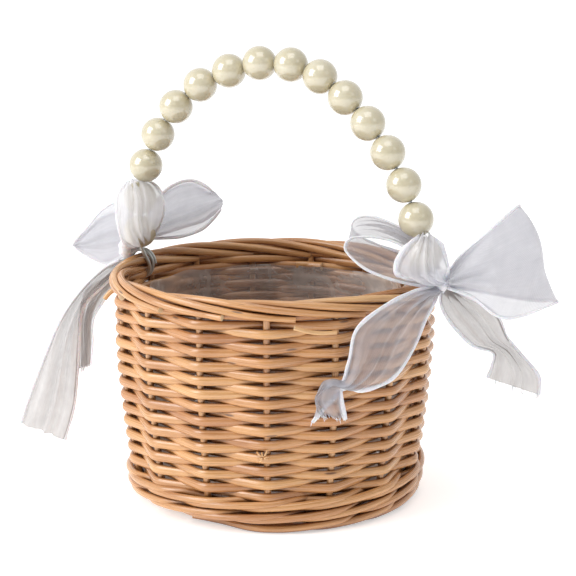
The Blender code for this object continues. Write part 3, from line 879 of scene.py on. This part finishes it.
def add_ribbon(name, guides, loop, pleats, bulge, seed, cloth, thread):
    """One piece of a bow: the sheer cloth, and its two thick hems and any frayed end."""
    points, normal = ribbon_surface(guides, loop, pleats, bulge, seed)
    rows, columns = points.shape[:2]
    steps = np.linalg.norm(np.diff(points[:, columns // 2], axis=0), axis=1)
    length = np.concatenate([[0], np.cumsum(steps)])
    grain = np.zeros((rows, columns, 3))
    grain[..., 0] = length[:, None]
    grain[..., 1] = np.linspace(0, RIBBON_WIDTH, columns)[None, :]
    faces = [(row * columns + column, row * columns + column + 1, (row + 1) * columns + column + 1,
              (row + 1) * columns + column) for row in range(rows - 1) for column in range(columns - 1)]
    sheet = mesh_object(name + "_cloth", points.reshape(-1, 3), faces, cloth, grain=grain.reshape(-1, 3))
    hems = Rods(seed)
    for column in (0, -1):
        edge = points[:, column]
        pucker = 1 + wander(hems, rows, 0.22, rows // 5)
        radius = WIDE_HEM_RADIUS if name in WIDE_HEMS else HEM_RADIUS
        hems.add(edge, radius * pucker, 0.5, reference=normal, sides=8, tall=0.45)
    if not loop:
        add_frayed_end(hems, points)
    hem = hems.build(name + "_hem", thread)
    flat = (RIBBON_WIDTH, float(length[-1]))
    return sheet, hem, flat


def add_frayed_end(hems, points):
    """Loose threads along the cut end."""
    last, before = points[-1], points[-4]
    for _ in range(26):
        column = hems.random.randrange(len(last))
        out = last[column] - before[column]
        out /= np.linalg.norm(out) + 1e-9
        reach = hems.random.uniform(0.6, 2.6) * MM
        stray = np.array([hems.random.uniform(-1, 1) for _ in range(3)]) * 0.35 * reach
        thread = np.array([last[column] - out * 0.4 * MM, last[column] + out * reach * 0.5 + stray * 0.3,
                           last[column] + out * reach + stray])
        hems.add(thread, 0.13 * MM, 0.5, reference=(0.3, 0.5, 0.8), sides=5)


def add_bows(cloths, thread):
    """Both bows, piece by piece. The tails are joined to no body; the other pieces go with the handle."""
    pieces = [(name, guides, True) for name, guides in LOOPS_MM.items()]
    pieces += [(name, guides, False) for name, guides in TAILS_MM.items()]
    for seed, (name, guides, loop) in enumerate(pieces, 60):
        kind = "loop" if name == "bow_right_wall_tail" else name.rsplit("_", 1)[1]
        sheet, hem, flat = add_ribbon(name, guides, loop, PLEATS.get(name, 4), BULGES.get(name, 0),
                                      seed, cloths[kind], thread)
        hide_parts(name)
        for piece in (sheet, hem):
            if name.endswith("tail"):
                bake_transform(piece)
            else:
                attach(piece, "handle")


def add_knot(name, seed, toward_bow, thread):
    """A bow's knot: a short band of ribbon wound tight round the gathers."""
    low, high = node_box(name)
    centre, half = (low + high) / 2 + toward_bow * MM, (high - low) / 2
    rows, columns = 40, 72
    turn = np.linspace(0, math.tau, columns, endpoint=False)
    rise = np.linspace(-1, 1, rows)[:, None]
    crease = 1 + 0.07 * np.sin(9 * rise + 1.5 * np.sin(turn)[None, :] + seed)
    barrel = np.sqrt(1 - 0.93 * rise ** 2) * crease
    points = np.stack([centre[0] + half[0] * 0.65 * barrel * np.cos(turn),
                       centre[1] + half[1] * barrel * np.sin(turn),
                       centre[2] + half[2] * 0.95 * rise + 0 * turn], -1).reshape(-1, 3)
    faces = [(row * columns + column, row * columns + (column + 1) % columns,
              (row + 1) * columns + (column + 1) % columns, (row + 1) * columns + column)
             for row in range(rows - 1) for column in range(columns)]
    faces += [tuple(range(columns))[::-1], tuple(range((rows - 1) * columns, rows * columns))]
    knot = mesh_object(name + "_band", points, faces, thread, grain=points)
    finish_piece(knot, "handle", "ribbon", name)


# ---------------------------------------------------------------- stage and camera

CAMERA_AZIMUTH = math.radians(26.85)
CAMERA_ELEVATION = math.radians(12)
CAMERA_DISTANCE = 0.8
CAMERA_LENS = 106
LIT_POINT = Vector((0, 0, 0.1))
AIM_HEIGHT = 0.0974
AIM_RIGHT = 0.0062
FLOOR_HALF_SIDE = 40


def add_camera():
    right = Vector((math.cos(CAMERA_AZIMUTH), math.sin(CAMERA_AZIMUTH), 0))
    back = Vector((math.sin(CAMERA_AZIMUTH) * math.cos(CAMERA_ELEVATION),
                   -math.cos(CAMERA_AZIMUTH) * math.cos(CAMERA_ELEVATION), math.sin(CAMERA_ELEVATION)))
    place = LIT_POINT + back * CAMERA_DISTANCE
    aim = Vector((0, 0, AIM_HEIGHT)) + right * AIM_RIGHT
    camera = bpy.data.objects.new("camera", bpy.data.cameras.new("camera"))
    bpy.context.collection.objects.link(camera)
    camera.location = place
    camera.rotation_euler = (aim - place).to_track_quat("-Z", "Y").to_euler()
    camera.data.lens = CAMERA_LENS
    camera.data.sensor_width = 36
    bpy.context.scene.camera = camera


def add_light(name, place, size, power):
    light = bpy.data.lights.new(name, "AREA")
    light.shape = "RECTANGLE"
    light.size, light.size_y = size
    light.energy = power
    made = bpy.data.objects.new(name, light)
    bpy.context.collection.objects.link(made)
    made.location = place
    made.rotation_euler = (LIT_POINT - Vector(place)).to_track_quat("-Z", "Y").to_euler()


def add_floor():
    """A wide sheet of pale paper that glows a little, so that it fades into the white background."""
    material, nodes, links, shader = new_material("pale_paper")
    where = nodes.new("ShaderNodeTexCoord").outputs["Object"]
    fine = noise_node(nodes, links, where, 400, 2)
    shades = ramp(nodes, links, fine, [(0, (0.86, 0.86, 0.86)), (1, (0.9, 0.9, 0.9))])
    links.new(shades, shader.inputs["Base Color"])
    shader.inputs["Roughness"].default_value = 0.9
    shader.inputs["Emission Color"].default_value = (1, 1, 1, 1)
    shader.inputs["Emission Strength"].default_value = 0.48
    work = bmesh.new()
    bmesh.ops.create_grid(work, x_segments=2, y_segments=2, size=FLOOR_HALF_SIDE)
    mesh = bpy.data.meshes.new("floor")
    work.to_mesh(mesh)
    work.free()
    mesh.materials.append(material)
    floor = bpy.data.objects.new("floor", mesh)
    bpy.context.collection.objects.link(floor)
    floor.location.z = -0.2 * MM


def add_world():
    """A white room, bright behind the basket and dim in front of it."""
    world = bpy.data.worlds.new("studio")
    bpy.context.scene.world = world
    world.use_nodes = True
    nodes, links = world.node_tree.nodes, world.node_tree.links
    background = nodes["Background"]
    background.inputs[0].default_value = (1, 1, 1, 1)
    toward_back = nodes.new("ShaderNodeVectorMath")
    toward_back.operation = "DOT_PRODUCT"
    toward_back.inputs[1].default_value = Vector((-0.6, 0.75, 0.25)).normalized()
    links.new(nodes.new("ShaderNodeTexCoord").outputs["Generated"], toward_back.inputs[0])
    strength = nodes.new("ShaderNodeMapRange")
    strength.inputs["From Min"].default_value = -1
    strength.inputs["From Max"].default_value = 0.8
    strength.inputs["To Min"].default_value = 0.06
    strength.inputs["To Max"].default_value = 1.03
    links.new(toward_back.outputs["Value"], strength.inputs["Value"])
    links.new(strength.outputs[0], background.inputs[1])
    bpy.context.scene.view_settings.view_transform = "Standard"


# ---------------------------------------------------------------- build

willow = willow_material()
steel = wire_material()
pearl = pearl_material()
# One cloth in three copies: the wraps are painted lighter, as painted light from the key, and the hanging
# tails darker and warmer, as painted shade and light bounced from the basket. The wraps' higher cover is the
# gathered cloth's own density.
organza = {
    "loop": organza_material("white_organza", (0.62, 0.62, 0.67), (0.70, 0.70, 0.74), 0.62, 0.74),
    "wrap": organza_material("gathered_organza", (0.88, 0.88, 0.92), (0.95, 0.95, 0.98), 0.66, 0.82),
    "tail": organza_material("hanging_organza", (0.45, 0.42, 0.41), (0.54, 0.51, 0.50), 0.68, 0.82)}
hem_thread = hem_material()
film = film_material()

add_camera()
add_floor()
add_world()
add_light("key", (-0.75, -0.9, 0.75), (0.75, 0.85), 11.4)
add_light("window", (1.05, -0.25, 0.7), (0.35, 0.35), 0.4)
add_light("top", (0.2, -0.35, 1.15), (0.7, 0.7), 2.9)
add_stakes(willow)
add_randing("side_weave_rods", "side_weave", willow, SIDE_START, SIDE_TURNS, 7)
add_randing("top_wale_rods", "top_waling", willow, SIDE_START + SIDE_TURNS * ROW_PITCH, TOP_TURNS, 12)
add_bottom_wale(willow)
add_border(willow)
add_loose_ends(willow)
add_base(willow)
add_liner(film)
add_pearls(pearl)
add_wire(steel)
add_bows(organza, hem_thread)
add_knot("bow_right_knot", 81, np.array([-2.5, -1, 2.5]), hem_thread)
add_knot("bow_left_knot", 82, np.array([9, -1, 4]), hem_thread)
